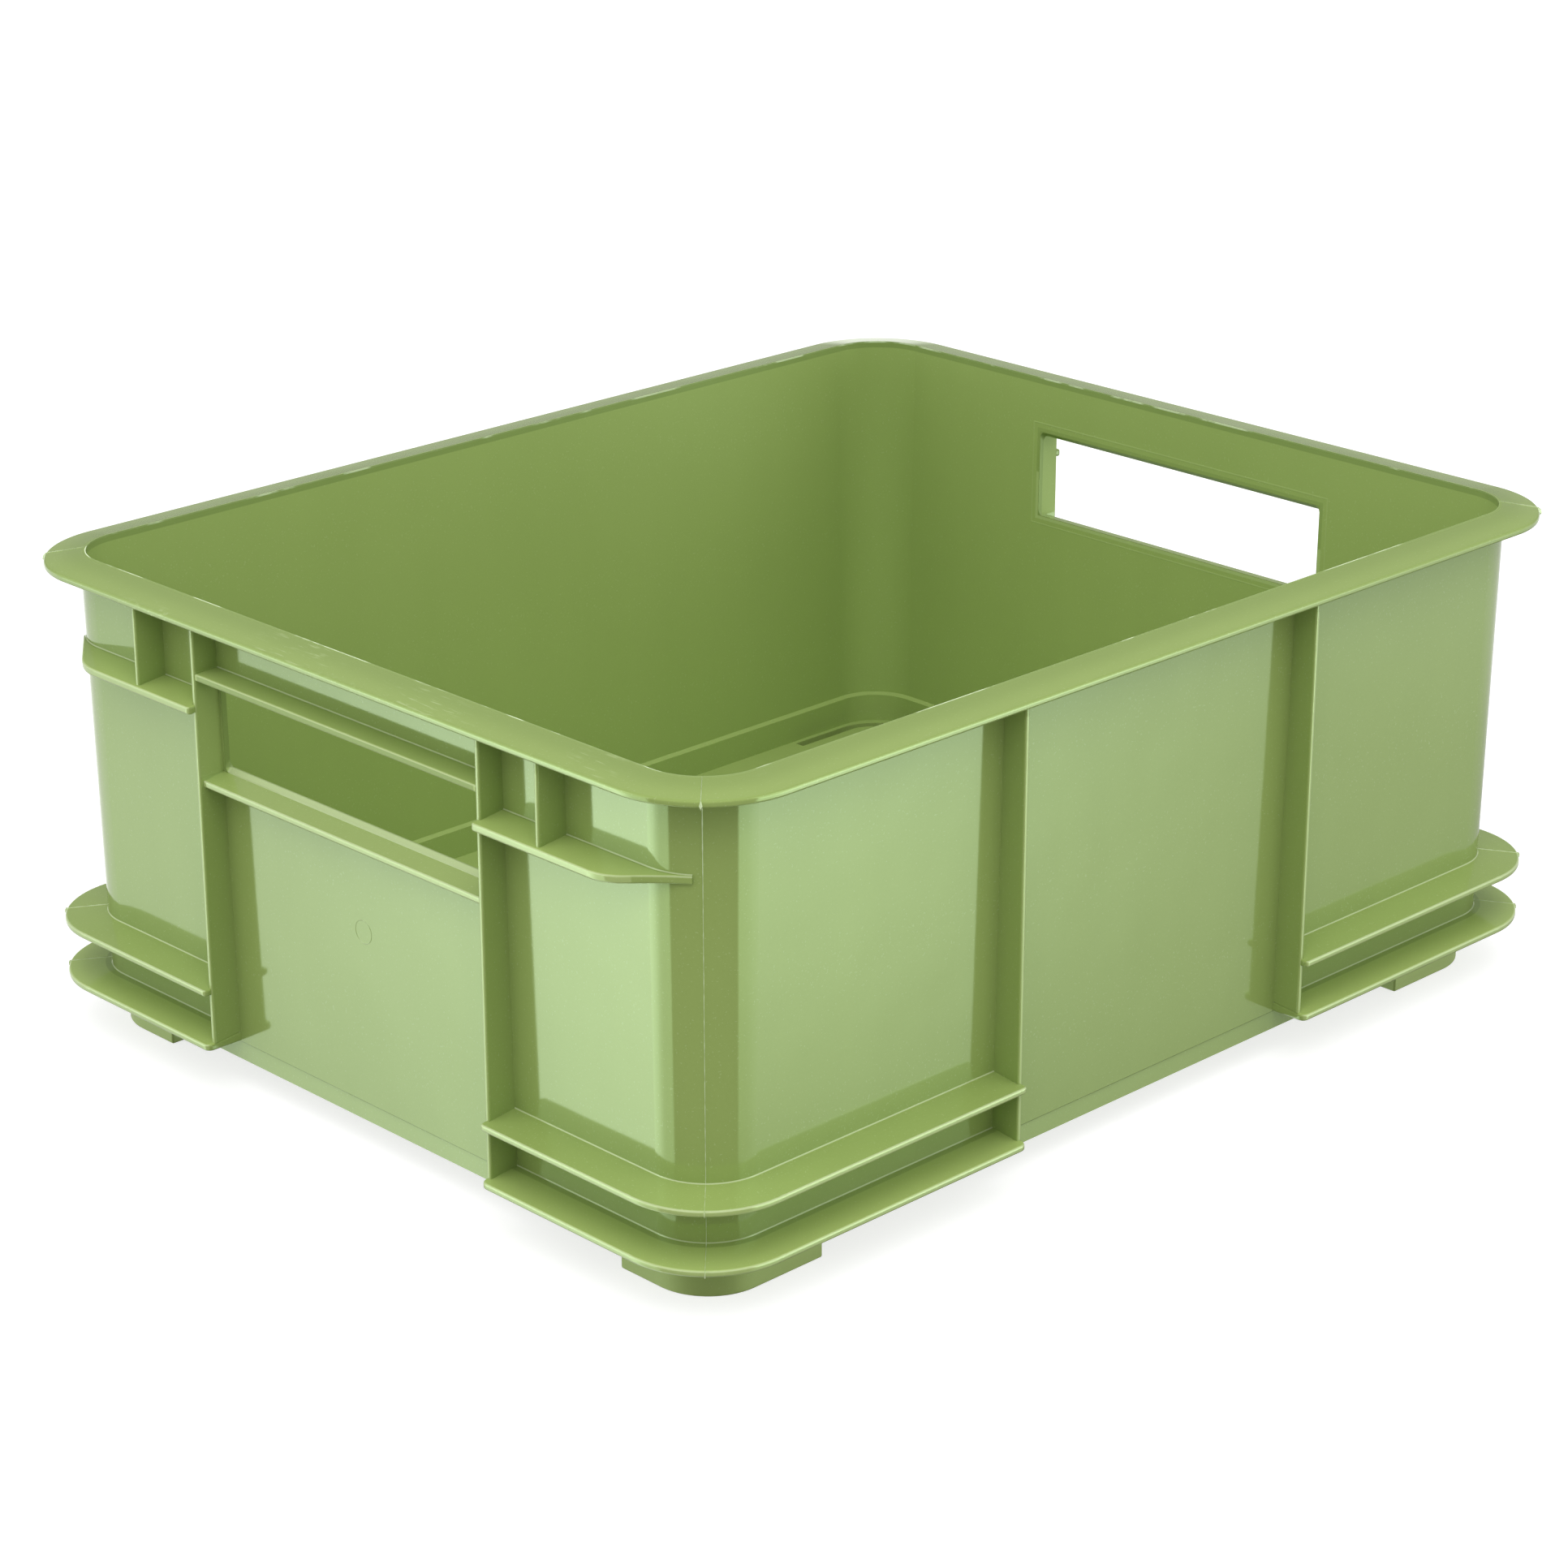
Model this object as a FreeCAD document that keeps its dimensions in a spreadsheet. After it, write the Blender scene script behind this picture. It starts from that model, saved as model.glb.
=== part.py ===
import FreeCAD, Part
import math
import os

import Sketcher
from FreeCAD import Vector

# A stacking crate, moulded in one piece. Millimetres. +Z is up and the feet stand at Z 0; X runs along the
# long sides and Y along the ends. The corner at +X +Y is modelled and the other three mirror it.
# "Inset" is the distance of a face inside the rectangle that the rim's outer edge makes.

SIZES = (
    # name, size, what it is
    ("length", 430.0, "over the rim, along X"),
    ("width", 350.0, "over the rim, along Y"),
    ("height", 175.0, "from the feet to the rim's inner edge"),
    ("corner", 36.0, "radius of the rim's corners, whose axis the walls share"),
    ("wall", 2.0, "thickness of the walls"),
    ("wall_top_inset", 12.4, "outer face of the walls under the rim"),
    ("draft", 2.0, "how much further in the walls stand at the parting line"),
    ("rim_fall", 2.3, "how far the rim slopes down to its outer edge"),
    ("rim_lip", 2.4, "thickness of the rim"),
    ("rim_round", 1.1, "radius of the rim's upper edge"),
    ("rim_under", 0.7, "radius of the rim's lower edge"),
    ("parting", 17.8, "height of the line where the side slides of the mould end"),
    ("band_step", 0.7, "how far the walls step in below the parting line"),
    ("base", 10.5, "height of the floor's underside"),
    ("floor", 2.2, "thickness of the floor"),
    ("ledge", 24.8, "height of the ledge round the inside"),
    ("ledge_step", 1.8, "how far the wall's inner face steps in at the ledge"),
    ("ledge_fall", 0.9, "how far the ledge slopes down"),
    ("band", 2.3, "thickness of the corner bands at their edge"),
    ("band_fall", 1.5, "how far the bands and shelves slope down from the wall to their edge"),
    ("root", 0.3, "bevel where a plate's top meets the wall"),
    ("band_inset", 0.4, "outer edge of the corner bands and shelves"),
    ("band_corner", 32.0, "corner radius of the bands"),
    ("upper_band", 40.4, "height of the upper band's top at its edge"),
    ("rib", 2.0, "thickness of the ribs"),
    ("rib_inset", 3.2, "outer edge of the ribs"),
    ("long_rib", 71.6, "middle of a long side's ribs, along X"),
    ("hole_margin", 1.2, "wall between the hand hole and the end's ribs"),
    ("tip", 1.6, "how far a band's rounded end laps over the rib's edge"),
    ("tip_round", 1.5, "radius of the upper bands' and shelves' ends"),
    ("end_round", 2.6, "radius of the lower bands' ends"),
    ("handle_width", 140.0, "width of the hand hole"),
    ("sill_depth", 57.8, "top of the sill where it meets the wall, below the rim's inner edge"),
    ("sill_inset", 4.6, "outer edge of the sill"),
    ("sill_fall", 1.3, "how far the sill slopes down to its edge"),
    ("lintel_depth", 23.3, "underside of the lintel where it meets the wall, below the rim's inner edge"),
    ("lintel_inset", 3.5, "outer edge of the lintel"),
    ("lintel_fall", 0.4, "how far the lintel slopes down to its edge"),
    ("grip", 2.5, "thickness of the sill and the lintel"),
    ("hole_slope", 1.8, "how much higher the hand hole's edges are at the inner face"),
    ("hole_round", 2.0, "corner radius of the hand hole"),
    ("shelf_depth", 32.4, "top of the corner shelves at their edge, below the rim's inner edge"),
    ("shelf_plate", 2.8, "thickness of the shelves, whose undersides slope like their tops"),
    ("shelf_end", 43.0, "where a shelf's edge turns in to the corner, from the long side's outer line"),
    ("shelf_turn", 20.0, "radius of that turn"),
    ("shelf_tip", 1.0, "width of a shelf's blunt end on the corner's wall"),
    ("shelf_angle", 37.5, "how far round the corner the shelf reaches, in degrees"),
    ("gusset", 1.8, "thickness of the gussets"),
    ("gusset_inset", 1.5, "outer edge of the gussets"),
    ("gusset_place", 73.4, "middle of the gussets, from the long side's outer line"),
    ("foot_inset", 18.3, "outer face of the feet"),
    ("foot_corner", 21.0, "corner radius of the feet"),
    ("foot_width", 8.0, "width of the feet's channel over its walls"),
    ("foot_wall", 2.0, "thickness of the feet"),
    ("foot_long", 68.8, "end of a foot along the long side, from the end's outer line"),
    ("foot_end", 57.6, "end of a foot along the end, from the long side's outer line"),
    ("edge", 0.8, "radius of the outer edges of ribs, bands and shelves"),
)

doc = FreeCAD.newDocument("StackingCrate")
sheet = doc.addObject("Spreadsheet::Sheet", "Sizes")


class Size:
    """A length with the expression that binds it to the sheet."""

    def __init__(self, value, text):
        self.value = float(value)
        self.text = text

    def combine(self, sign, other, value, swap=False):
        text = other.text if isinstance(other, Size) else repr(float(other))
        pair = (text, self.text) if swap else (self.text, text)
        return Size(value, f"({pair[0]} {sign} {pair[1]})")

    def __add__(self, other):
        return self.combine("+", other, self.value + plain(other))

    def __sub__(self, other):
        return self.combine("-", other, self.value - plain(other))

    def __mul__(self, other):
        return self.combine("*", other, self.value * plain(other))

    def __truediv__(self, other):
        return self.combine("/", other, self.value / plain(other))

    def __rmul__(self, other):
        return self.combine("*", other, plain(other) * self.value, swap=True)

    def __neg__(self):
        return Size(-self.value, f"(-{self.text})")


def plain(size):
    return size.value if isinstance(size, Size) else float(size)


NONE = Size(0, "0")


class Sheet:
    """The driving sizes by name, each bound to its cell."""


s = Sheet()
for row, (name, value, meaning) in enumerate(SIZES, start=1):
    sheet.set(f"A{row}", name)
    sheet.set(f"B{row}", str(value))
    sheet.set(f"C{row}", meaning)
    sheet.setAlias(f"B{row}", name)
    setattr(s, name, Size(value, f"Sizes.{name}"))
doc.recompute()

# Sizes that follow from the sheet
half_length = s.length / 2
half_width = s.width / 2
axis_x = half_length - s.corner
axis_y = half_width - s.corner
rim_inner = s.wall_top_inset + s.wall
rim_slope = s.rim_fall / rim_inner
rim_edge_top = s.height - s.rim_fall
rim_edge_low = rim_edge_top - s.rim_lip
lower_band = s.parting + s.band
end_rib = s.handle_width / 2 + s.hole_margin + s.rib / 2
sill = s.height - s.sill_depth
lintel = s.height - s.lintel_depth
shelf = s.height - s.shelf_depth
shelf_end = half_width - s.shelf_end


def under_rim(inset):
    """Height of the rim's sloping underside."""
    return rim_edge_low + rim_slope * inset


wall_top = under_rim(s.wall_top_inset)


def wall_inset(height):
    """The wall's outer face, which leans in by the draft from the rim down to the parting line."""
    return s.wall_top_inset + s.draft * (wall_top - height) / (wall_top - s.parting)


ledge_inset = wall_inset(s.ledge) + s.wall
floor_inset = ledge_inset + s.ledge_step
band_face = wall_inset(s.parting) + s.band_step


# Document helpers
def new_body(name):
    body = doc.addObject("PartDesign::Body", name)
    body.Label = name
    return body


def new_sketch(body, name, plane, offset):
    """An empty sketch on one of the body's own planes; offset moves it in that plane's own directions."""
    sketch = body.newObject("Sketcher::SketchObject", f"{body.Name}_{name}")
    origin = next(f for f in body.Origin.OriginFeatures if f.Role == plane)
    sketch.AttachmentSupport = (origin, [""])
    sketch.MapMode = "FlatFace"
    sketch.AttachmentOffset = FreeCAD.Placement(Vector(*[plain(v) for v in offset]), FreeCAD.Rotation())
    for axis, value in zip("xyz", offset):
        if isinstance(value, Size):
            sketch.setExpression(f"AttachmentOffset.Base.{axis}", value.text)
    return sketch


def bind(sketch, kind, *where):
    """Adds a constraint whose last argument is a size and binds it to the sheet."""
    *places, size = where
    index = sketch.addConstraint(Sketcher.Constraint(kind, *places, size.value))
    sketch.setExpression(f"Constraints[{index}]", size.text)


def place_point(sketch, element, end, x, y):
    bind(sketch, "DistanceX", -1, 1, element, end, x)
    bind(sketch, "DistanceY", -1, 1, element, end, y)


def outline(body, name, plane, points, offset=(0, 0, 0), rounds=None):
    """A closed outline of straight lines, every corner bound to the sheet; rounds gives some corners a
    tangent arc by their place in the list."""
    rounds = rounds or {}
    sketch = new_sketch(body, name, plane, offset)
    corners = [Vector(x.value, y.value, 0) for x, y in points]
    count = len(corners)
    leaving = [(corners[(i + 1) % count] - corners[i]).normalize() for i in range(count)]

    def trimmed(i, along):
        """Where a line starts or ends: its corner, or the end of the corner's arc."""
        if i not in rounds:
            return corners[i]
        turned = leaving[i - 1].getAngle(leaving[i])
        return corners[i] + along * (rounds[i].value * math.tan(turned / 2))

    for i in range(count):
        after = (i + 1) % count
        sketch.addGeometry(Part.LineSegment(trimmed(i, leaving[i]), trimmed(after, -leaving[i])))
    for i, (x, y) in enumerate(points):
        if i not in rounds:
            sketch.addConstraint(Sketcher.Constraint("Coincident", (i - 1) % count, 2, i, 1))
            place_point(sketch, i, 1, x, y)
            continue
        radius = rounds[i]
        start = trimmed(i, -leaving[i - 1])
        left = leaving[i - 1].cross(leaving[i]).z > 0
        side = 1 if left else -1
        centre = start + Vector(-leaving[i - 1].y, leaving[i - 1].x, 0) * (side * radius.value)
        ends = (start, trimmed(i, leaving[i]))
        angles = [math.atan2(*(end - centre)[1::-1]) for end in (ends if left else ends[::-1])]
        circle = Part.Circle(centre, Vector(0, 0, 1), radius.value)
        arc = sketch.addGeometry(Part.ArcOfCircle(circle, *angles))
        corner = sketch.addGeometry(Part.Point(corners[i]))
        first, second = (1, 2) if left else (2, 1)
        sketch.addConstraint(Sketcher.Constraint("Tangent", (i - 1) % count, 2, arc, first))
        sketch.addConstraint(Sketcher.Constraint("Tangent", i, 1, arc, second))
        sketch.addConstraint(Sketcher.Constraint("PointOnObject", corner, 1, (i - 1) % count))
        sketch.addConstraint(Sketcher.Constraint("PointOnObject", corner, 1, i))
        bind(sketch, "Radius", arc, radius)
        place_point(sketch, corner, 1, x, y)
    return sketch


def add_feature(body, kind, sketch, size, symmetric=False, **settings):
    """A Pad or Pocket of a sketch by one bound length."""
    feature = body.newObject(f"PartDesign::{kind}", f"{body.Name}_{kind}")
    feature.Profile = sketch
    feature.Length = size.value
    feature.setExpression("Length", size.text)
    feature.SideType = "Symmetric" if symmetric else "One side"
    for key, value in settings.items():
        setattr(feature, key, value)
    sketch.Visibility = False
    return feature


def turn(body, sketch, angle=None):
    """Turns a section about the sketch's vertical axis, from +X towards +Y, by a quarter or a bound angle."""
    feature = body.newObject("PartDesign::Revolution", f"{body.Name}_Revolution")
    feature.Profile = sketch
    feature.ReferenceAxis = (sketch, ["V_Axis"])
    feature.Angle = 90
    if angle:
        feature.setExpression("Angle", angle.text)
    return feature


def round_edges(body, radius, chosen):
    """Rounds the edges of the body's tip whose middle point passes the test."""
    doc.recompute()
    tip = body.Tip
    names = []
    for number, edge in enumerate(tip.Shape.Edges, start=1):
        middle = edge.valueAt((edge.FirstParameter + edge.LastParameter) / 2)
        if chosen(edge, middle):
            names.append(f"Edge{number}")
    feature = body.newObject("PartDesign::Fillet", f"{body.Name}_Fillet")
    feature.Base = (tip, names)
    feature.Radius = radius.value
    feature.setExpression("Radius", radius.text)
    return feature


def near(a, b, slack=0.02):
    return abs(plain(a) - plain(b)) < slack


def upright(edge):
    ends = [v.Point for v in edge.Vertexes]
    return len(ends) == 2 and near(ends[0].x, ends[1].x) and near(ends[0].y, ends[1].y)


def mirror(source, name, normal):
    copy = doc.addObject("Part::Mirroring", name)
    copy.Source = source
    copy.Normal = normal
    copy.Label = name
    return copy


ACROSS = Vector(1, 0, 0)
ALONG = Vector(0, 1, 0)
pieces = []


def four_corners(body, pattern):
    """Names the modelled corner piece and mirrors it into the other three corners."""
    body.Label = pattern.format("rear_right")
    left = mirror(body, pattern.format("rear_left"), ACROSS)
    front = mirror(body, pattern.format("front_right"), ALONG)
    both = mirror(front, pattern.format("front_left"), ACROSS)
    pieces.extend([body, left, front, both])


def two_sides(body, pattern, names, normal):
    """Names the modelled piece and mirrors it to the opposite side."""
    body.Label = pattern.format(names[0])
    pieces.extend([body, mirror(body, pattern.format(names[1]), normal)])


# Sections shared by straight runs and corners, as (inset, height)
def wall_section():
    """Outer face with its draft, step at the parting line, base, and inner face with its ledge."""
    return (
        (s.wall_top_inset, wall_top),
        (wall_inset(s.parting), s.parting),
        (band_face, s.parting - s.band_step),
        (band_face, s.base),
        (floor_inset, s.base),
        (floor_inset, s.ledge - s.ledge_fall),
        (ledge_inset, s.ledge),
        (rim_inner, wall_top),
    )


def rim_section():
    """A lip of even thickness that slopes down and out from the wall's inner face."""
    return (
        (rim_inner, s.height),
        (NONE, rim_edge_top),
        (NONE, rim_edge_low),
        (s.wall_top_inset, wall_top),
        (rim_inner, wall_top),
    )


def long_run(name, section):
    """A section carried along a long side, between the corner axes."""
    body = new_body(name)
    points = [(half_width - inset, height) for inset, height in section]
    sketch = outline(body, "section", "YZ_Plane", points)
    add_feature(body, "Pad", sketch, 2 * axis_x, symmetric=True)
    return body


def end_run(name, section):
    """A section carried along an end, between the corner axes."""
    body = new_body(name)
    points = [(half_length - inset, height) for inset, height in section]
    sketch = outline(body, "section", "XZ_Plane", points)
    add_feature(body, "Pad", sketch, 2 * axis_y, symmetric=True)
    return body


def corner_run(name, section):
    """A section turned through the corner about its axis."""
    body = new_body(name)
    points = [(s.corner - inset, height) for inset, height in section]
    sketch = outline(body, "section", "XZ_Plane", points, offset=(axis_x, 0, -axis_y))
    turn(body, sketch)
    return body


def round_rim(body):
    """Rounds the rim's upper outer edge, and its lower one less."""

    def at(height):
        def chosen(edge, middle):
            return edge.Length > s.corner.value and near(middle.z, height)

        return chosen

    round_edges(body, s.rim_round, at(rim_edge_top))
    round_edges(body, s.rim_under, at(rim_edge_low))


# Walls
def make_walls():
    long_wall = long_run("long_wall", wall_section())
    two_sides(long_wall, "{}_long_wall", ("rear", "front"), ALONG)

    end_wall = end_run("end_wall", wall_section())
    inner = half_length - s.wall_top_inset - s.wall - s.draft
    outer = half_length - s.wall_top_inset + s.wall
    face = half_length - wall_inset(sill)
    slope = s.hole_slope / s.wall

    def hole_edge(height, x):
        """The hand hole's edges slope down towards the outside."""
        return height - slope * (x - face)

    corners = [(x, hole_edge(sill, x)) for x in (inner, outer)]
    corners += [(x, hole_edge(lintel, x)) for x in (outer, inner)]
    sketch = outline(end_wall, "hand_hole", "XZ_Plane", corners)
    add_feature(end_wall, "Pocket", sketch, s.handle_width, symmetric=True)

    def hole_corner(edge, middle):
        short = edge.Length < 3 * s.wall.value
        return short and near(abs(middle.y), s.handle_width / 2) and middle.z > s.ledge.value * 2

    def across_wall(edge, middle):
        ends = [v.Point for v in edge.Vertexes]
        return hole_corner(edge, middle) and abs(ends[0].x - ends[1].x) > s.wall.value / 2

    round_edges(end_wall, s.hole_round, across_wall)
    two_sides(end_wall, "{}_end_wall", ("right", "left"), ACROSS)

    four_corners(corner_run("corner_wall", wall_section()), "{}_corner_wall")


# Floor, with a slot over each hollow foot
def foot_plan(body, name, shrink, height, side_x=1, side_y=1):
    """The feet's L, or the channel inside it when shrunk by the thickness of its wall."""
    out_x = half_length - s.foot_inset - shrink
    out_y = half_width - s.foot_inset - shrink
    in_x = half_length - s.foot_inset - s.foot_width + shrink
    in_y = half_width - s.foot_inset - s.foot_width + shrink
    end_x = half_length - s.foot_long + shrink
    end_y = half_width - s.foot_end + shrink
    points = (
        (end_x, out_y), (out_x, out_y), (out_x, end_y),
        (in_x, end_y), (in_x, in_y), (end_x, in_y),
    )
    points = [(x * side_x, y * side_y) for x, y in points]
    rounds = {1: s.foot_corner - shrink, 4: s.foot_corner - s.foot_width + shrink}
    return outline(body, name, "XY_Plane", points, offset=(0, 0, height), rounds=rounds)


def make_floor():
    body = new_body("floor_panel")
    x = half_length - floor_inset
    y = half_width - floor_inset
    corners = ((-x, -y), (x, -y), (x, y), (-x, y))
    sketch = outline(body, "plan", "XY_Plane", corners, offset=(0, 0, s.base))
    add_feature(body, "Pad", sketch, s.floor)
    round_edges(body, s.corner - floor_inset, lambda edge, middle: upright(edge))
    for side_x in (-1, 1):
        for side_y in (-1, 1):
            slot = foot_plan(body, "foot_slot", s.foot_wall, s.base, side_x, side_y)
            add_feature(body, "Pocket", slot, s.floor, Reversed=True)
    pieces.append(body)


# Rim
def make_rim():
    long_rim = long_run("long_rim", rim_section())
    round_rim(long_rim)
    two_sides(long_rim, "{}_rim", ("rear", "front"), ALONG)
    end_rim = end_run("end_rim", rim_section())
    round_rim(end_rim)
    two_sides(end_rim, "{}_rim", ("right", "left"), ACROSS)
    corner_rim = corner_run("corner_rim", rim_section())
    round_rim(corner_rim)
    four_corners(corner_rim, "{}_corner_rim")


# Corner bands and shelves: plates that slope down from the wall to the rim's outer line
CLEAR = 0.1


def slope_at(edge_height, fall, inset):
    """Height of a sloping face at an inset; the face falls to edge_height at the plates' outer edge."""
    depth = wall_inset(edge_height + fall) - s.band_inset
    return edge_height - fall * (s.band_inset - inset) / depth


def root_points(edge_height, fall):
    """The bevel between the wall and a sloping top."""
    root = edge_height + fall
    low_end = wall_inset(root) - s.root
    return (wall_inset(root + s.root), root + s.root), (low_end, slope_at(edge_height, fall, low_end))


def inset_at(point):
    """How far inside the outer rectangle with its round corners a point lies."""
    return s.corner.value - math.hypot(max(point.x - axis_x.value, 0), max(point.y - axis_y.value, 0))


class Plate:
    """A plate round the corner, in sections that its plan then trims."""

    def __init__(self, name, edge_top, thickness, under_fall):
        self.body = new_body(name)
        self.top = edge_top
        self.thickness = thickness
        self.under_fall = under_fall

    def section(self, lap):
        """From the wall, or for a lap from the ribs' edge, out past the outer line."""
        low = self.top - self.thickness
        outer = s.band_inset - s.band
        if lap:
            inner = ((s.rib_inset, slope_at(self.top, s.band_fall, s.rib_inset)),)
            foot = s.rib_inset
        else:
            inner = root_points(self.top, s.band_fall)
            foot = wall_inset(low + self.under_fall)
        return (
            *inner, (outer, slope_at(self.top, s.band_fall, outer)),
            (outer, slope_at(low, self.under_fall, outer)), (foot, slope_at(low, self.under_fall, foot)),
        )

    def along_side(self, start, length, lap=False):
        points = [(half_width - inset, height) for inset, height in self.section(lap)]
        sketch = outline(self.body, "long_section", "YZ_Plane", points, offset=(0, 0, start))
        add_feature(self.body, "Pad", sketch, length)

    def along_end(self, start, length, lap=False):
        points = [(half_length - inset, height) for inset, height in self.section(lap)]
        sketch = outline(self.body, "end_section", "XZ_Plane", points, offset=(0, 0, -start))
        add_feature(self.body, "Pad", sketch, length, Reversed=True)

    def round_corner(self, angle=None):
        points = [(s.corner - inset, height) for inset, height in self.section(False)]
        sketch = outline(self.body, "corner_section", "XZ_Plane", points, offset=(axis_x, 0, -axis_y))
        turn(self.body, sketch, angle)

    def trim(self, points, rounds):
        """Cuts the plate back to its plan."""
        start = self.top - 2 * self.thickness
        sketch = outline(self.body, "trim", "XY_Plane", points, offset=(0, 0, start), rounds=rounds)
        add_feature(self.body, "Pocket", sketch, 4 * self.thickness, Reversed=True)

    def soften(self):
        """Rounds the upper and lower edges where they stand clear of the ribs and of the corner's wall."""

        def at_level(upper):
            def chosen(edge, middle):
                inset = inset_at(middle)
                in_corner = min(middle.x - axis_x.value, middle.y - axis_y.value) > CLEAR
                limit = s.wall_top_inset - s.root if in_corner else s.rib_inset
                outside = inset < limit.value - CLEAR and not upright(edge)
                core = slope_at(self.top, s.band_fall, inset) - self.thickness / 2
                return outside and (middle.z > core.value) == upper

            return chosen

        round_edges(self.body, s.edge, at_level(upper=True))
        round_edges(self.body, s.edge, at_level(upper=False))


def upright_at(x, y):
    """Picks the upright edge that stands at x, y."""

    def chosen(edge, middle):
        return upright(edge) and near(middle.x, x) and near(middle.y, y)

    return chosen


def make_band(name, top, over_rib):
    """A corner band. The upper one ends at the ribs' sides and laps round their edges; the lower one runs
    under the ribs, which stand on it."""
    past = s.rib / 2 if over_rib else -s.rib / 2
    end_x = s.long_rib + past
    end_y = end_rib + past
    out_x = half_length - s.band_inset
    out_y = half_width - s.band_inset
    band = Plate(name, top, s.band, NONE)
    band.along_side(end_x, axis_x - end_x)
    band.along_end(end_y, axis_y - end_y)
    band.round_corner()
    tip_x, tip_y = end_x, end_y
    if over_rib:
        tip_x = end_x - s.tip
        tip_y = end_y - s.tip
        band.along_side(tip_x, s.tip, lap=True)
        band.along_end(tip_y, s.tip, lap=True)
    near_x = tip_x - s.band
    near_y = tip_y - s.band
    far_x = half_length + s.band * 2
    far_y = half_width + s.band * 2
    plan = (
        (near_x, out_y), (out_x, out_y), (out_x, near_y),
        (far_x, near_y), (far_x, far_y), (near_x, far_y),
    )
    band.trim(plan, {1: s.band_corner})
    tip_round = s.tip_round if over_rib else s.end_round
    for tip in ((out_x, tip_y), (tip_x, out_y)):
        round_edges(band.body, tip_round, upright_at(*tip))
    band.soften()
    four_corners(band.body, "{}_" + name)


def make_shelf():
    """A corner shelf of an end, whose edge turns in and runs out bluntly on the corner's wall."""
    end_y = end_rib + s.rib / 2
    tip_y = end_y - s.tip
    out_x = half_length - s.band_inset
    plate = Plate("corner_shelf", shelf, s.shelf_plate, s.band_fall)
    plate.along_end(end_y, axis_y - end_y)
    plate.round_corner(s.shelf_angle)
    plate.along_end(tip_y, s.tip, lap=True)
    reach = s.corner - wall_inset(shelf + s.band_fall) + s.shelf_tip
    angle = math.radians(s.shelf_angle.value)
    blunt_x = axis_x + reach * Size(math.cos(angle), f"cos({s.shelf_angle.text} * 1deg)")
    blunt_y = axis_y + reach * Size(math.sin(angle), f"sin({s.shelf_angle.text} * 1deg)")
    near_y = tip_y - s.band
    far_x = half_length + s.band * 2
    far_y = half_width
    plan = (
        (out_x, near_y), (far_x, near_y), (far_x, far_y),
        (blunt_x, far_y), (blunt_x, blunt_y), (out_x, shelf_end),
    )
    plate.trim(plan, {5: s.shelf_turn})
    round_edges(plate.body, s.tip_round, upright_at(out_x, tip_y))
    plate.soften()
    four_corners(plate.body, "{}_corner_shelf")


# Ribs, gussets, sill and lintel: plates with one edge on the wall
def web(name, plane, half, low, outer, high_root, offset, thickness):
    """An upright plate from the wall out to an inset, between a sloping plate and the rim."""
    body = new_body(name)
    section = (
        *root_points(low, s.band_fall), (outer, slope_at(low, s.band_fall, outer)),
        (outer, under_rim(outer)), (s.wall_top_inset, high_root),
    )
    points = [(half - inset, height) for inset, height in section]
    sketch = outline(body, "profile", plane, points, offset=(0, 0, offset))
    add_feature(body, "Pad", sketch, thickness, symmetric=True)
    return body


def make_ribs():
    rib = web("long_rib", "YZ_Plane", half_width, lower_band, s.rib_inset, wall_top, s.long_rib, s.rib)
    edge_y = half_width - s.rib_inset
    round_edges(rib, s.edge, lambda edge, middle: upright(edge) and near(middle.y, edge_y))
    four_corners(rib, "{}_long_rib")

    rib = web("end_rib", "XZ_Plane", half_length, lower_band, s.rib_inset, wall_top, -end_rib, s.rib)
    edge_x = half_length - s.rib_inset
    round_edges(rib, s.edge, lambda edge, middle: upright(edge) and near(middle.x, edge_x))
    four_corners(rib, "{}_end_rib")

    place = half_width - s.gusset_place
    gusset = web("gusset", "XZ_Plane", half_length, shelf, s.gusset_inset, wall_top, -place, s.gusset)
    out_x = half_length - s.gusset_inset
    round_edges(gusset, s.edge, lambda edge, middle: upright(edge) and near(middle.x, out_x))
    four_corners(gusset, "{}_shelf_gusset")


def make_bar(name, root_top, outer, fall, wall_above):
    """The sill or the lintel: a bar between an end's ribs that slopes down to its edge."""
    body = new_body(name)
    root = wall_inset(root_top)
    top = ((root, root_top),)
    if wall_above:
        bevel_fall = fall * s.root / (root - outer)
        top = (
            (wall_inset(root_top + s.root), root_top + s.root),
            (root - s.root, root_top - bevel_fall),
        )
    section = (
        *top, (outer, root_top - fall), (outer, root_top - s.grip - fall),
        (wall_inset(root_top - s.grip), root_top - s.grip),
    )
    points = [(half_length - inset, height) for inset, height in section]
    sketch = outline(body, "profile", "XZ_Plane", points)
    add_feature(body, "Pad", sketch, 2 * end_rib - s.rib, symmetric=True)
    edge_x = half_length - outer
    round_edges(body, s.edge, lambda edge, middle: edge.Length > end_rib.value and near(middle.x, edge_x))
    two_sides(body, "{}_" + name, ("right", "left"), ACROSS)


# Feet: L-shaped channels, open to the inside of the crate
def make_foot():
    body = new_body("foot")
    sketch = foot_plan(body, "plan", NONE, NONE)
    add_feature(body, "Pad", sketch, s.base)
    out_x = half_length - s.foot_inset
    out_y = half_width - s.foot_inset
    for end in ((half_length - s.foot_long, out_y), (out_x, half_width - s.foot_end)):
        round_edges(body, s.edge, upright_at(*end))
    round_edges(body, s.edge, lambda edge, middle: near(middle.z, 0))
    channel = foot_plan(body, "channel", s.foot_wall, s.foot_wall)
    add_feature(body, "Pocket", channel, s.base, Reversed=True)
    four_corners(body, "{}_foot")


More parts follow.
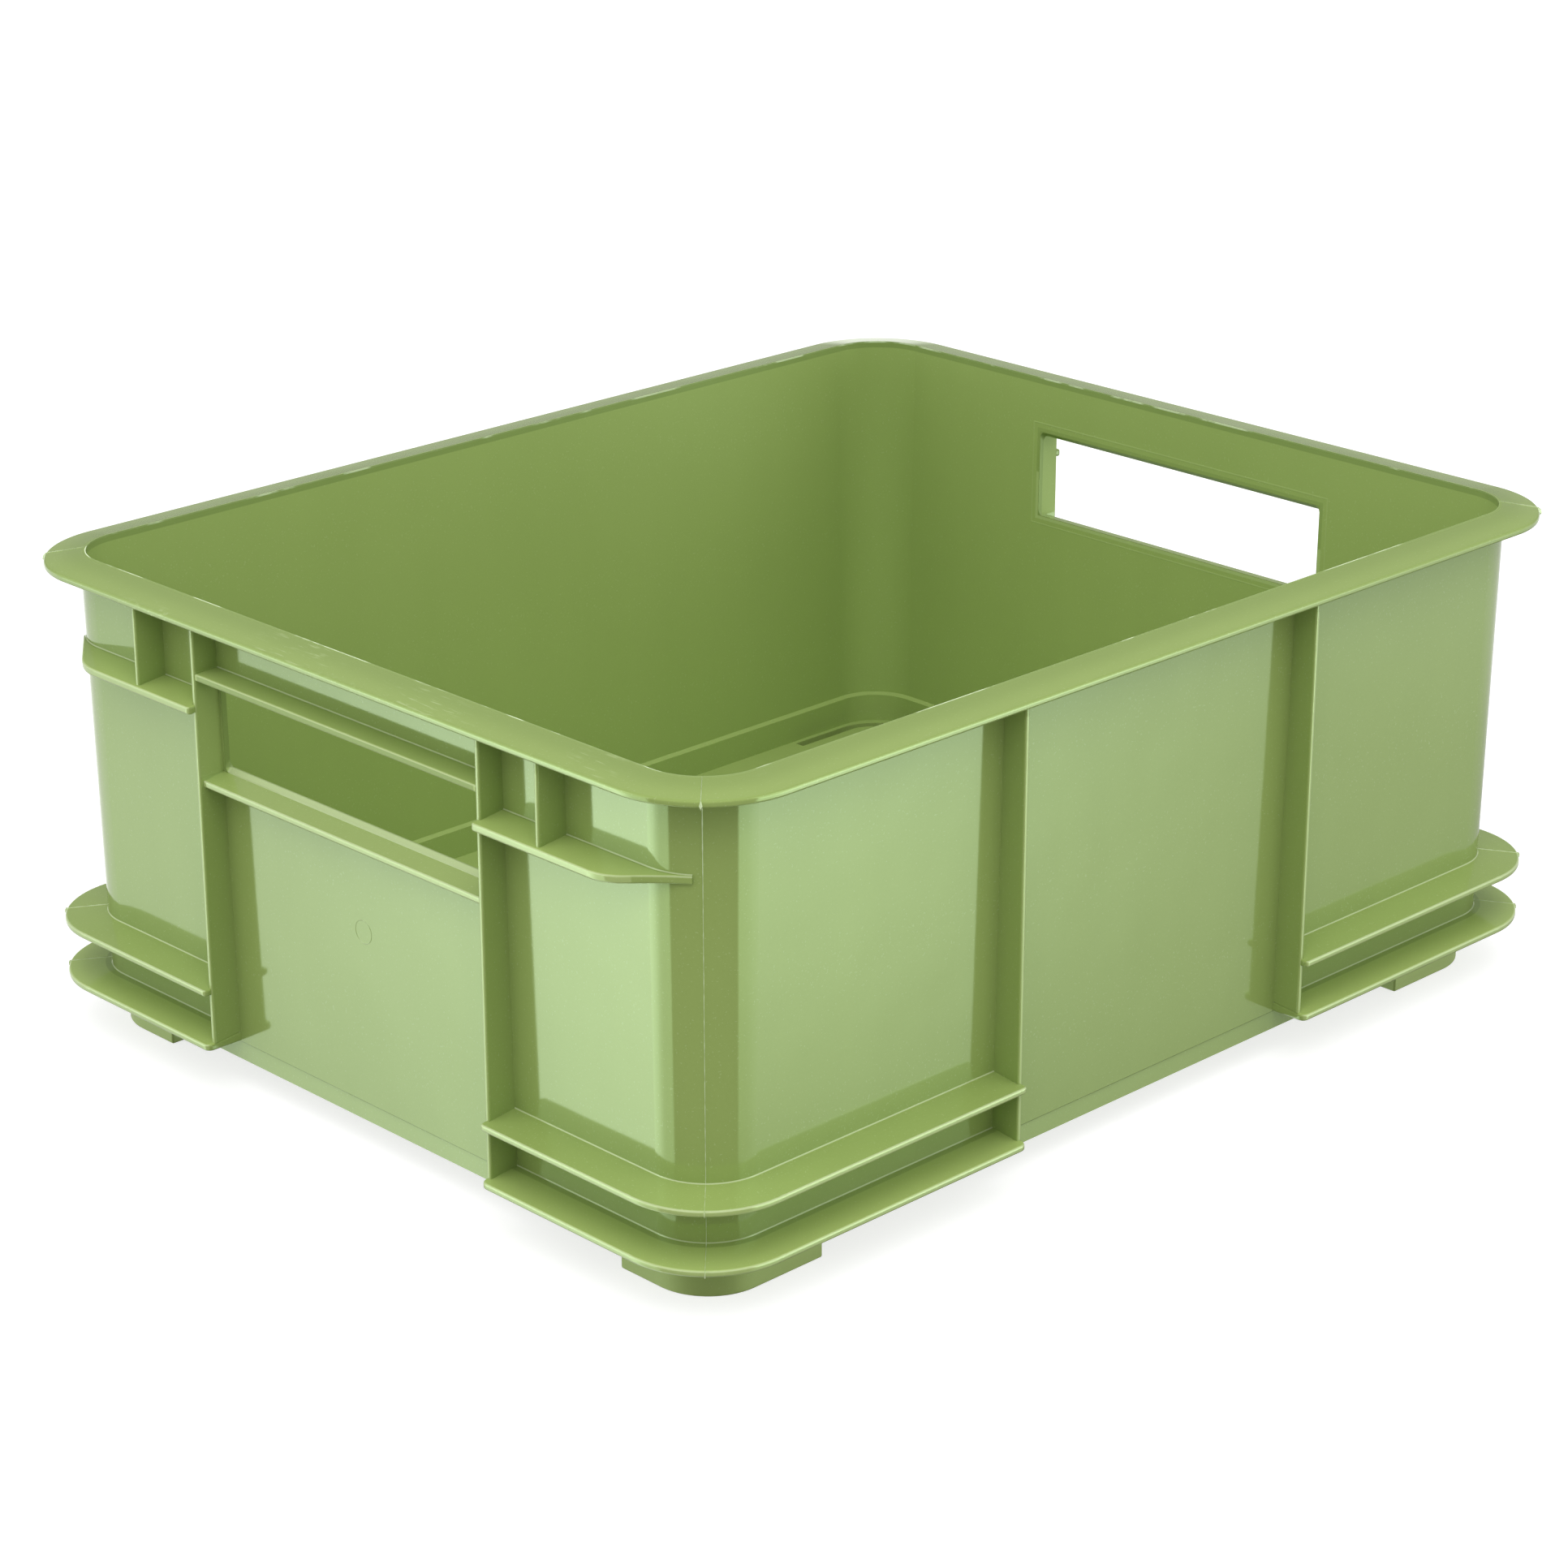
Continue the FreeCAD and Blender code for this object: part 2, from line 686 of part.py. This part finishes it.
make_walls()
make_floor()
make_rim()
make_band("upper_band", s.upper_band, True)
make_band("lower_band", lower_band, False)
make_shelf()
make_ribs()
make_bar("handle_sill", sill, s.sill_inset, s.sill_fall, wall_above=False)
make_bar("handle_lintel", lintel + s.grip, s.lintel_inset, s.lintel_fall, wall_above=True)
make_foot()
doc.recompute()

for item in doc.Objects:
    bad = [state for state in item.State if state in ("Invalid", "Error")]
    if bad:
        raise RuntimeError(f"{item.Name} ({item.Label}) did not build: {bad}")
os.makedirs("parts", exist_ok=True)
for piece in pieces:
    shape = piece.Shape
    if shape.isNull() or not shape.isValid() or len(shape.Solids) != 1:
        raise RuntimeError(f"{piece.Label} is not one valid solid")
    shape.exportStep(f"parts/{piece.Label}.step")
    print(piece.Label, round(shape.Volume, 1))
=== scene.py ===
import math

import bmesh
import bpy
from mathutils import Matrix, Vector


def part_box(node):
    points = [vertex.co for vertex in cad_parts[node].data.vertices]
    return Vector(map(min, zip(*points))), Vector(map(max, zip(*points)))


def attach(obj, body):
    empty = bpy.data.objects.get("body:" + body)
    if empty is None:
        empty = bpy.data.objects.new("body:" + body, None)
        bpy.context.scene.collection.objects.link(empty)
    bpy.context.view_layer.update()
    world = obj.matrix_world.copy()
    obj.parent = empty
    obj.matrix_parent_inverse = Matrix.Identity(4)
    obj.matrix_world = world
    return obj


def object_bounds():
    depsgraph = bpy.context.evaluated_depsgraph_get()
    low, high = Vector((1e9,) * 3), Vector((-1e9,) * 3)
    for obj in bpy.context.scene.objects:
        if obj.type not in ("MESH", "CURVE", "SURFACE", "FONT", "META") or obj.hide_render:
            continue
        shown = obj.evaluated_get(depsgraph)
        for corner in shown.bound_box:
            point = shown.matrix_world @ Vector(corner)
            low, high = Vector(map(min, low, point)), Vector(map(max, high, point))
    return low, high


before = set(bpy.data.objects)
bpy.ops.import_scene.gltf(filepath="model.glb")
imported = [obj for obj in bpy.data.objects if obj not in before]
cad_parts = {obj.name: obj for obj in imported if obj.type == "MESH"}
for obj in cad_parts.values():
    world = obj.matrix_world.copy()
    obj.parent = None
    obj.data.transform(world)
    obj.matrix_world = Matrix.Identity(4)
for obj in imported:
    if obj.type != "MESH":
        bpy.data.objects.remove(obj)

cad_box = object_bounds()
MM = 0.001


# Shader sums
class Wire:
    """A node's output, on which Python's operators add Math nodes."""

    def __init__(self, shader, socket):
        self.shader = shader
        self.socket = socket

    def math(self, operation, *values):
        return self.shader.node("ShaderNodeMath", {"operation": operation}, dict(enumerate(values)))

    def __add__(self, other):
        return self.math("ADD", self, other)

    def __radd__(self, other):
        return self.math("ADD", other, self)

    def __sub__(self, other):
        return self.math("SUBTRACT", self, other)

    def __rsub__(self, other):
        return self.math("SUBTRACT", other, self)

    def __mul__(self, other):
        return self.math("MULTIPLY", self, other)

    def __rmul__(self, other):
        return self.math("MULTIPLY", other, self)

    def __truediv__(self, other):
        return self.math("DIVIDE", self, other)

    def __rtruediv__(self, other):
        return self.math("DIVIDE", other, self)

    def __pow__(self, other):
        return self.math("POWER", self, other)

    def __neg__(self):
        return self.math("MULTIPLY", self, -1.0)

    def __abs__(self):
        return self.math("ABSOLUTE", self)

    def least(self, other):
        return self.math("MINIMUM", self, other)

    def most(self, other):
        return self.math("MAXIMUM", self, other)

    def ramp(self, low, high):
        """0 below the low value, 1 above the high one, smooth between them."""
        settings = {"interpolation_type": "SMOOTHSTEP"}
        return self.shader.node("ShaderNodeMapRange", settings, {"Value": self, 1: low, 2: high}, "Result")

    def past(self, start, width):
        """0 up to the start and 1 from a width further on, smooth between them."""
        return self.ramp(start, start + width)

    def line(self, middle, inner, outer):
        """1 along a line at the middle value, fading out between two distances from it."""
        return 1.0 - abs(self - middle).ramp(inner, outer)


class Shader:
    """The node tree of one material or of the world."""

    def __init__(self, owner):
        owner.use_nodes = True
        self.tree = owner.node_tree
        self.tree.nodes.clear()

    def node(self, kind, settings=None, values=None, output=0):
        """A node of a type with its settings, then the values or links of its sockets; gives one output."""
        made = self.tree.nodes.new(kind)
        for key, value in (settings or {}).items():
            setattr(made, key, value)
        for key, value in (values or {}).items():
            socket = made.inputs[key]
            if isinstance(value, Wire):
                self.tree.links.new(value.socket, socket)
            else:
                socket.default_value = value
        return Wire(self, made.outputs[output]) if len(made.outputs) else None

    def split(self, vector):
        """The three coordinates of a vector."""
        first = self.node("ShaderNodeSeparateXYZ", None, {0: vector})
        return [Wire(self, output) for output in first.socket.node.outputs]

    def mix(self, share, first, second):
        """A blend of two colours."""
        values = {0: share, 6: first, 7: second}
        return self.node("ShaderNodeMix", {"data_type": "RGBA"}, values, 2)

    def noise(self, place, scale, detail=2.0, roughness=0.5):
        values = {"Vector": place, "Scale": scale, "Detail": detail, "Roughness": roughness}
        return self.node("ShaderNodeTexNoise", None, values, "Fac")

    def stretch(self, place, scale):
        """The place with its three directions scaled."""
        return self.node("ShaderNodeVectorMath", {"operation": "MULTIPLY"}, {0: place, 1: scale})


def rgb(red, green, blue):
    return (red, green, blue, 1.0)


# Sizes read from the crate
half_length, _, height = cad_box[1]
corner_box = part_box("front_left_corner_rim")
axis_x = abs(corner_box[1][0])
axis_y = abs(corner_box[1][1])
sill_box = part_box("left_handle_sill")
lintel_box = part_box("left_handle_lintel")

# The hand hole in the end walls. Sill and lintel slope down from it, and the sill runs on past its sides
HOLE_RISE = 1.8 * MM
SILL_LAP = 1.2 * MM
hole_middle = (sill_box[1][2] + lintel_box[0][2]) / 2 + HOLE_RISE
hole_half_height = (lintel_box[0][2] - sill_box[1][2]) / 2
hole_half_width = sill_box[1][1] - SILL_LAP
END_WALLS = axis_x + 15.0 * MM

# Heights at which the finish and the painted light and shade change
UNDER_RIM = height - 9.0 * MM
RIM_LIP = height - 7.5 * MM
RIM_TOP = height - 2.7 * MM
RIM_CREST = height - 0.6 * MM
UNDER_SHELVES = 125.0 * MM
ABOVE_LOWER_BAND = 28.0 * MM
ABOVE_FEET = 9.5 * MM

# Distances from the nearest corner's axis at which it changes
INNER_LEDGE = 20.8 * MM
RIM_INNER_EDGE = 21.7 * MM
WALL_OUTSIDE = 23.8 * MM
RIM_SLOPE = 24.0 * MM
RIBS_AND_BANDS = 30.0 * MM
WALL_MIDDLE_AT_TOP = 22.6 * MM
WALL_TOP_HEIGHT = 172.3 * MM
WALL_DRAFT = 0.013

# The left end, whose rim is rubbed on its top and scuffed on its outer edge
LEFT_END_TOP = half_length - 45.0 * MM
LEFT_END_EDGE = half_length - 3.5 * MM

# Tones over the plastic's own green: its wear, dust and flash, and painted light and shade
RUBBED = rgb(0.5, 0.6, 0.32)
# painted highlight on the outer faces of edges
PAINTED_EDGE_HIGHLIGHT = rgb(0.5, 0.6, 0.26)
# painted highlight on bevels and rounded edges
PAINTED_BEVEL_HIGHLIGHT = rgb(0.78, 0.86, 0.6)
# painted light on shaded ledges
PAINTED_LEDGE_LIGHT = rgb(0.5, 0.64, 0.2)
# painted light on the feet
PAINTED_FEET_LIGHT = rgb(0.48, 0.58, 0.2)
# painted shade on the rim's top
PAINTED_RIM_SHADE = rgb(0.16, 0.225, 0.06)
SCUFFED = rgb(0.54, 0.66, 0.36)
FLASH = rgb(0.75, 0.85, 0.6)
# painted shade in the hand holes
SHADED = rgb(0.15, 0.21, 0.055)
# a faint mould border, and a painted highlight on the lip below each hand hole
BORDER_AND_LIP_HIGHLIGHT = rgb(0.5, 0.6, 0.3)


# Green polypropylene
def moulded_plastic(name, dark, light):
    """The plastic between two tones of its green, with painted light and shade over parts of it."""
    material = bpy.data.materials.new(name)
    shader = Shader(material)
    place = shader.node("ShaderNodeTexCoord", output="Object")
    x, y, z = shader.split(place)

    # colour: slow clouds of the pigment, streaks of the flow, fine dust
    clouds = shader.noise(place, 9.0, 3.0)
    streaks = shader.noise(shader.stretch(place, (60.0, 60.0, 9.0)), 1.0, 2.0)
    speckle = shader.noise(place, 900.0, 1.0)
    tone = 0.5 + 0.5 * (clouds - 0.5) + 0.25 * (streaks - 0.5) + 0.18 * (speckle - 0.5)
    colour = shader.mix(tone, dark, light)
    dust = shader.noise(place, 1500.0, 0.0).ramp(0.74, 0.80)
    colour = shader.mix(dust * 0.22, colour, RUBBED)

    # distance from the axis of the nearest corner, and how squarely a face looks outwards
    over_x = (abs(x) - axis_x).most(0.0)
    over_y = (abs(y) - axis_y).most(0.0)
    reach = (over_x * over_x + over_y * over_y) ** 0.5
    facing_x, facing_y, facing_up = shader.split(shader.node("ShaderNodeNewGeometry", output="Normal"))
    outwards = (over_x * abs(facing_x) + over_y * abs(facing_y)) / (reach + 0.01 * MM)

    # painted highlights: the colour is lightened on the outer faces of the ribs' and bands' edges, and on the
    # fine bevels and rounded edges
    below_rim = 1.0 - z.past(UNDER_RIM, 1.0 * MM)
    edge = outwards.ramp(0.55, 0.8) * reach.past(RIBS_AND_BANDS, 0.5 * MM) * below_rim
    colour = shader.mix(edge * 0.4, colour, PAINTED_EDGE_HIGHLIGHT)
    painted_bevel_highlight = (outwards * facing_up).ramp(0.25, 0.42) * reach.past(INNER_LEDGE, 0.3 * MM) * below_rim
    colour = shader.mix(painted_bevel_highlight * 0.32, colour, PAINTED_BEVEL_HIGHLIGHT)

    # painted light: the colour is lightened on the up-facing ledges in shade, the shelves, and the band and
    # floor edge near the ground
    shaded_heights = z.past(UNDER_SHELVES, 2.0 * MM).most(1.0 - z.past(ABOVE_LOWER_BAND, 2.0 * MM))
    painted_ledge_light = facing_up.ramp(0.5, 0.9) * reach.past(WALL_OUTSIDE, 0.5 * MM) * shaded_heights * below_rim
    colour = shader.mix(painted_ledge_light * 0.34, colour, PAINTED_LEDGE_LIGHT)

    # painted light: the thin, hollow feet, shaded by the bands, are lightened
    painted_feet_light = 1.0 - z.past(ABOVE_FEET, 1.0 * MM)
    colour = shader.mix(painted_feet_light * 0.3, colour, PAINTED_FEET_LIGHT)

    # painted shade: the rim's top is darkened, most near its inner edge
    rim_top = z.past(RIM_TOP, 0.4 * MM)
    painted_rim_shade = rim_top * (0.6 - 0.3 * reach.past(RIM_SLOPE, 10.0 * MM))
    colour = shader.mix(painted_rim_shade, colour, PAINTED_RIM_SHADE)

    # fine scratches run along the rim's top, rubbed pale on the left end
    on_end = (over_x - over_y).ramp(-0.5 * MM, 0.5 * MM)
    along_end = shader.noise(shader.stretch(place, (1100.0, 110.0, 300.0)), 1.0, 2.0)
    along_side = shader.noise(shader.stretch(place, (110.0, 1100.0, 300.0)), 1.0, 2.0)
    scratches = (along_side + on_end * (along_end - along_side)).ramp(0.56, 0.72)
    rubbed = shader.noise(place, 19.0, 1.0).ramp(0.45, 0.62)
    left_end = (-x).past(LEFT_END_TOP, 30.0 * MM) * (1.0 - over_x.least(over_y).ramp(0.0, 5.0 * MM))
    colour = shader.mix(rim_top * scratches * rubbed * left_end * 0.35, colour, RUBBED)

    # the rim's outer edge is scuffed on the left end, which is pulled over other crates
    outer = (-x).past(LEFT_END_EDGE, 3.0 * MM)
    on_lip = z.past(RIM_LIP, 1.0 * MM)
    worn = shader.noise(shader.stretch(place, (260.0, 260.0, 700.0)), 1.0, 4.0, 0.7).ramp(0.5, 0.72)
    patches = shader.noise(place, 14.0, 2.0).ramp(0.5, 0.7)
    scuff = outer * on_lip * worn * patches
    colour = shader.mix(scuff * 0.55, colour, SCUFFED)

    # a thin, broken flash line along the rim's inner edge
    inner_edge = reach.line(RIM_INNER_EDGE, 0.1 * MM, 0.4 * MM) * z.past(RIM_CREST, 0.2 * MM)
    broken = shader.noise(place, 55.0, 4.0).ramp(0.5, 0.6)
    colour = shader.mix(inner_edge * (0.06 + 0.65 * broken), colour, FLASH)

    # the inside is duller than the outside, and the wall between them leans inwards towards the floor
    wall_middle = WALL_MIDDLE_AT_TOP - WALL_DRAFT * (WALL_TOP_HEIGHT - z)
    inside = 1.0 - (reach - wall_middle).ramp(-0.3 * MM, 0.3 * MM)

    # the hand holes: painted shade on their sides and on the lip above each, a painted highlight on the lip
    # below each, and a faint border where the core of the mould ends
    around = (abs(y) - hole_half_width).most(abs(z - hole_middle) - hole_half_height)
    at_end = abs(x).past(END_WALLS, 1.0 * MM)
    border = around.line(3.5 * MM, 0.1 * MM, 0.4 * MM) * at_end * inside
    lip = around.line(0.9 * MM, 0.5 * MM, 0.8 * MM) * at_end * inside
    jamb = (1.0 - around.ramp(0.1 * MM, 0.4 * MM)) * at_end
    over_hole = z.past(hole_middle, 1.0 * MM)
    colour = shader.mix(jamb * 0.6 + lip * over_hole * 0.35, colour, SHADED)
    colour = shader.mix(lip * (1.0 - over_hole) * 0.3 + border * 0.15, colour, BORDER_AND_LIP_HIGHLIGHT)
    gripped = (1.0 - around.ramp(1.3 * MM, 1.6 * MM)) * at_end

    dull = inside.most(gripped)
    haze = shader.noise(place, 22.0, 3.0)
    roughness = 0.07 + 0.05 * haze + 0.3 * scuff + 0.45 * dull
    swell = shader.noise(place, 28.0, 1.0)
    grain = shader.noise(place, 1100.0, 2.0) * (1.0 - 0.8 * rim_top)
    relief = 0.12 * MM * swell + 0.004 * MM * grain + 0.03 * MM * scuff + 0.08 * MM * border
    bump = shader.node("ShaderNodeBump", None, {"Height": relief, "Distance": 1.0, "Strength": 0.6})
    surface = shader.node("ShaderNodeBsdfPrincipled", None, {
        "Base Color": colour, "Roughness": roughness, "Normal": bump, "IOR": 1.49,
        "Specular IOR Level": 0.9, "Specular Tint": rgb(0.66, 1.0, 0.5),
    })
    shader.node("ShaderNodeOutputMaterial", None, {"Surface": surface})
    return material


plastic = moulded_plastic("green_polypropylene", rgb(0.25, 0.335, 0.092), rgb(0.315, 0.412, 0.128))
thin_flash = moulded_plastic("thin_flash", rgb(0.5, 0.6, 0.34), rgb(0.74, 0.84, 0.56))
for node_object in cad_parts.values():
    node_object.data.materials.clear()
    node_object.data.materials.append(plastic)


# Marks that the mould leaves, with their places in millimetres
WALL_TOP = (23.6, 172.2)
WALL_FOOT = (21.6, 17.8)
LIP_HEIGHT = 170.9
LIP_REACH = 33.5
BAND_REACH = 36.4
UPPER_BAND_EDGE = 40.4
UPPER_BAND_UNDERSIDE = 38.1
LOWER_BAND_EDGE = 20.1
SEAM_STEP = 1.6
PIN_HEIGHT = 80.3
PIN_RADIUS = 4.1


def wall_reach(level):
    """Distance of the corner's wall from the corner's axis, which shrinks towards the foot."""
    share = (level - WALL_FOOT[1]) / (WALL_TOP[1] - WALL_FOOT[1])
    return WALL_FOOT[0] + share * (WALL_TOP[0] - WALL_FOOT[0])


def band_outline(edge):
    """Over a corner band in the plane halfway round the corner, as distance from the axis and height."""
    root = edge + 1.5
    return [
        (wall_reach(root) + 0.05, root + 0.3), (wall_reach(root) + 0.6, root - 0.05),
        (36.2, edge - 0.05), (36.8, edge - 0.3), (37.05, edge - 0.8),
        (37.05, edge - 1.5), (36.8, edge - 2.05), (36.2, edge - 2.3),
    ]


def seam_outline():
    """Where the mould's side slides meet, from the rim's inner edge down to the lower band."""
    rim = [
        (21.8, 174.9), (28.5, 173.8), (34.8, 172.8), (35.6, 172.4), (35.95, 171.7),
        (35.95, 171.0), (35.6, 170.5), (35.1, 170.35), (30.0, 171.15), (24.2, 172.1),
    ]
    wall = [(wall_reach(170.0), 170.0), (wall_reach(106.0), 106.0)]
    between = [(wall_reach(UPPER_BAND_UNDERSIDE) + 0.05, UPPER_BAND_UNDERSIDE)]
    return rim + wall + band_outline(UPPER_BAND_EDGE) + between + band_outline(LOWER_BAND_EDGE)


def fine_points(outline, step):
    """The outline with points added so that none are further apart than the step."""
    points = [Vector(outline[0])]
    for end in outline[1:]:
        start = points[-1]
        count = max(1, math.ceil((Vector(end) - start).length / step))
        points += [start.lerp(Vector(end), (i + 1) / count) for i in range(count)]
    return points


def mesh_piece(name, vertices, faces, material):
    """A piece of the moulding with all its faces turned outwards."""
    mesh = bpy.data.meshes.new(name)
    mesh.from_pydata(vertices, [], faces)
    work = bmesh.new()
    work.from_mesh(mesh)
    bmesh.ops.recalc_face_normals(work, faces=work.faces)
    work.to_mesh(mesh)
    work.free()
    piece = bpy.data.objects.new(name, mesh)
    bpy.context.collection.objects.link(piece)
    mesh.materials.append(material)
    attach(piece, "root")


# How deep the foot of a ridge lies in the wall
SUNK = 0.05 * MM


def ridge(name, places, outwards, sideways, material, closed=False):
    """A thin ridge of triangular section along places, with its height and width at each of them."""
    vertices = []
    for place, (out, tall), (side, wide) in zip(places, outwards, sideways):
        vertices += [place - out * SUNK - side * wide, place + out * tall, place - out * SUNK + side * wide]
    count = len(places)
    faces = []
    for i in range(count if closed else count - 1):
        a, b = 3 * i, 3 * ((i + 1) % count)
        faces += [(a + k, a + (k + 1) % 3, b + (k + 1) % 3, b + k) for k in range(3)]
    if not closed:
        last = 3 * (count - 1)
        faces += [(0, 2, 1), (last, last + 1, last + 2)]
    mesh_piece(name, vertices, faces, material)


def add_seam(name, side_x, side_y, nib):
    """The flash line of a corner. The nib is how far it stands out at the rim's edge."""
    points = fine_points(seam_outline(), SEAM_STEP)
    diagonal = Vector((side_x, side_y, 0)).normalized()
    across = Vector((-diagonal.y, diagonal.x, 0))
    axis = Vector((side_x * axis_x, side_y * axis_y, 0))
    places, outwards, sideways = [], [], []
    for i, point in enumerate(points):
        along = (points[min(i + 1, len(points) - 1)] - points[max(i - 1, 0)]).normalized()
        out = Vector((-along.y, along.x))
        out = diagonal * out.x + Vector((0, 0, out.y))
        uneven = math.sin(1.9 * i + 5 * nib) * math.sin(0.53 * i + 2 * nib)
        near_rim = max(0.0, 1.0 - (height / MM - point.y) / 40.0)
        at_edge = max(0.0, 1.0 - abs(point.y - LIP_HEIGHT) / 2.0) if point.x > LIP_REACH else 0.0
        at_band = 0.5 if point.x > BAND_REACH else 0.0
        tall = 0.16 + 0.08 * uneven + 0.15 * near_rim + at_edge * nib + at_band
        tall = min(tall, height / MM - point.y)
        wide = 0.1 + 0.05 * uneven + 0.12 * near_rim + 0.4 * at_edge * nib + 0.3 * at_band
        places.append(axis + diagonal * (point.x * MM) + Vector((0, 0, point.y * MM)))
        outwards.append((out, tall * MM))
        sideways.append((across, wide * MM))
    ridge(name, places, outwards, sideways, thin_flash)


def add_ejector_ring(name, side):
    """The faint ring of a core pin in the middle of an end."""
    count = 48
    places, outwards, sideways = [], [], []
    for i in range(count):
        turn = 2 * math.pi * i / count
        radial = Vector((0, math.cos(turn), math.sin(turn)))
        level = PIN_HEIGHT + PIN_RADIUS * radial.z
        depth = axis_x / MM + wall_reach(level)
        places.append(Vector((side * depth, PIN_RADIUS * radial.y, level)) * MM)
        outwards.append((Vector((side, 0, 0)), 0.09 * MM))
        sideways.append((radial, 0.2 * MM))
    ridge(name, places, outwards, sideways, plastic, closed=True)


add_seam("front_left_seam", -1, -1, 0.9)
add_seam("front_right_seam", 1, -1, 1.2)
add_seam("rear_left_seam", -1, 1, 0.8)
add_seam("rear_right_seam", 1, 1, 0.3)
add_ejector_ring("left_pin_ring", -1)
add_ejector_ring("right_pin_ring", 1)


# Floor and studio
AISLE = 224.3


def add_floor():
    """A pale card that glows where it is seen, so that it stays near white and keeps the shadow."""
    bpy.ops.mesh.primitive_plane_add(size=12.0, location=(0.0, 0.0, 0.0))
    floor = bpy.context.object
    floor.name = "studio_floor"
    floor.visible_glossy = False
    material = bpy.data.materials.new("pale_floor")
    shader = Shader(material)
    seen = shader.node("ShaderNodeLightPath", output="Is Camera Ray")
    card = shader.node("ShaderNodeBsdfDiffuse", None, {"Color": rgb(0.4, 0.4, 0.4)})
    glow = shader.node("ShaderNodeEmission", None, {"Color": rgb(1, 1, 1), "Strength": 0.75 * seen})
    surface = shader.node("ShaderNodeAddShader", None, {0: card, 1: glow})
    shader.node("ShaderNodeOutputMaterial", None, {"Surface": surface})
    floor.data.materials.append(material)


def add_softbox(name, place, aim, size, watts):
    """A soft square lamp. The gloss doesn't see it, only the studio's walls."""
    light = bpy.data.lights.new(name, "AREA")
    light.size = size
    light.energy = watts
    lamp = bpy.data.objects.new(name, light)
    lamp.location = place
    lamp.rotation_euler = (Vector(aim) - Vector(place)).to_track_quat("-Z", "Y").to_euler()
    lamp.visible_glossy = False
    bpy.context.collection.objects.link(lamp)


def add_world():
    """White behind the crate and brightest overhead. The gloss sees bright walls on both sides of it, a
    dim ceiling and a dark aisle in front."""
    world = bpy.data.worlds.new("studio")
    bpy.context.scene.world = world
    world.cycles.sampling_method = "NONE"
    shader = Shader(world)
    seen = shader.node("ShaderNodeLightPath", output="Is Camera Ray")
    mirrored = shader.node("ShaderNodeLightPath", output="Is Glossy Ray")
    x, y, z = shader.split(shader.node("ShaderNodeTexCoord", output="Generated"))
    level = (x * x + y * y) ** 0.5 + 0.0001

    def towards(azimuth):
        """1 in the directions over an azimuth, 0 across it and -1 behind it."""
        turn = math.radians(azimuth)
        return (math.cos(turn) * x + math.sin(turn) * y) / level

    aisle = towards(AISLE)
    away = -aisle
    on_left = towards(AISLE - 90.0).ramp(-0.15, 0.15)

    # the bright walls, each dimmer low down, and the right one also away from the aisle
    left = 4.0 + 2.2 * z.ramp(-0.46, -0.36)
    right = (0.8 + 3.8 * z.ramp(-0.5, -0.33)) * (1.0 - 0.38 * away.ramp(0.0, 0.15))
    right += 1.5 * z.ramp(-0.36, -0.32)
    walls = right + on_left * (left - right)

    # how they fade round the back and towards the aisle, and end upwards and at the back's horizon
    fade = 1.0 - 0.68 * away.ramp(-0.03, 0.2) - 0.12 * away.ramp(0.22, 0.8)
    fade -= (0.15 + 0.4 * on_left) * aisle.ramp(0.0, 0.4)
    beside = 1.0 - aisle.ramp(0.59, 0.61)
    low_down = (1.0 - 0.5 * z.ramp(0.05, 0.3)) * (1.0 - z.ramp(0.6, 0.75))
    back = away.ramp(0.4, 0.7)
    walls *= fade * beside * low_down * (1.0 - back * z.ramp(-0.03, 0.04))

    ceiling = 0.22 * (back * z.ramp(-0.12, 0.12)).most(z.ramp(0.6, 0.75))
    gloss = 0.12 + ceiling + walls
    ambient = 0.54 + 0.72 * z.ramp(0.1, 0.9)
    light = mirrored * gloss + (1.0 - mirrored) * ambient
    strength = seen.most(light * (1.0 - seen))
    backdrop = shader.node("ShaderNodeBackground", None, {"Color": rgb(1, 1, 1), "Strength": strength})
    shader.node("ShaderNodeOutputWorld", None, {"Surface": backdrop})


def add_camera():
    """A long lens that looks down a little on the corner between the left end and the front wall."""
    azimuth, elevation, roll = (math.radians(angle) for angle in (-44.33, 21.10, -0.08))
    sideways, rise, distance = -0.00715, 0.07229, 1.48625
    back = Vector((
        math.sin(azimuth) * math.cos(elevation), -math.cos(azimuth) * math.cos(elevation), math.sin(elevation)
    ))
    right = (-back).cross(Vector((0, 0, 1))).normalized()
    up = right.cross(-back)
    level = Matrix((right, up, back)).transposed().to_4x4()
    place = sideways * right + rise * up + distance * back
    data = bpy.data.cameras.new("camera")
    data.lens = 93.516
    data.sensor_width = 36.0
    camera = bpy.data.objects.new("camera", data)
    camera.matrix_world = Matrix.Translation(place) @ level @ Matrix.Rotation(roll, 4, "Z")
    bpy.context.collection.objects.link(camera)
    bpy.context.scene.camera = camera


add_floor()
add_world()
add_softbox("top_softbox", (-0.6, -0.6, 2.0), (0, 0, 0), 2.0, 19.0)
add_softbox("left_softbox", (-1.9, 0.9, 0.8), (0, 0, 0.1), 1.4, 3.0)
add_softbox("right_softbox", (1.2, -1.9, 0.8), (0, 0, 0.1), 1.4, 3.0)
add_softbox("fill", (-1.3, -1.3, 1.5), (0, 0, 0.08), 1.6, 4.0)
add_camera()
bpy.context.scene.view_settings.view_transform = "Standard"
